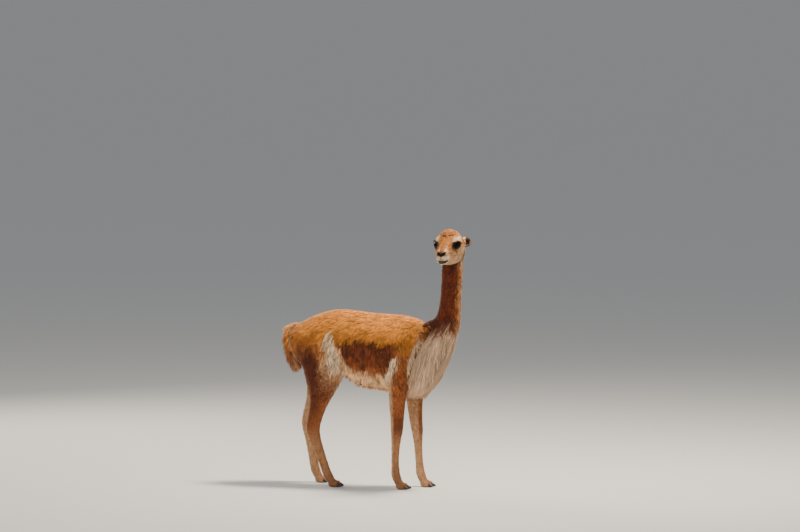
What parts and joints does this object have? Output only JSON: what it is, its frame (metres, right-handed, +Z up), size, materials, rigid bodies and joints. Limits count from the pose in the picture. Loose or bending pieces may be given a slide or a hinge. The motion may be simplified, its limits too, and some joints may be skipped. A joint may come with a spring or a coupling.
{
  "type": "standing vicuna, life-size model",
  "caption": "Life-size standing vicuna with a long white breast bib, slender legs and neck, and its head turned to its right.",
  "frame": {"origin": "on the plane of the soles, under the middle of the whole animal", "axes": "+X towards the breast, +Y towards the animal's left side, +Z up; the face looks towards -Y"},
  "size_m": [0.9718, 0.326, 1.2755],
  "materials": {
    "coat": "soft, dense short coat, cinnamon above and pale below",
    "pale_coat": "long, silky white breast locks",
    "eye": "wet, near black",
    "horn": "dull, dark horn"
  },
  "bodies": {
    "root": {"torso": "coat", "neck": "coat", "head": "coat", "breast_bib": "pale_coat", "tail": "coat", "ear_left": "coat", "ear_right": "coat", "eye_left": "eye", "eye_right": "eye", "leg_hind_right_upper": "coat", "leg_hind_right_lower": "coat", "leg_hind_right_foot": "coat", "nail_hind_right_left": "horn", "nail_hind_right_right": "horn", "leg_hind_left_upper": "coat", "leg_hind_left_lower": "coat", "leg_hind_left_foot": "coat", "nail_hind_left_left": "horn", "nail_hind_left_right": "horn", "leg_fore_right_upper": "coat", "leg_fore_right_lower": "coat", "leg_fore_right_foot": "coat", "nail_fore_right_left": "horn", "nail_fore_right_right": "horn", "leg_fore_left_upper": "coat", "leg_fore_left_lower": "coat", "leg_fore_left_foot": "coat", "nail_fore_left_left": "horn", "nail_fore_left_right": "horn"}
  },
  "joints": []
}
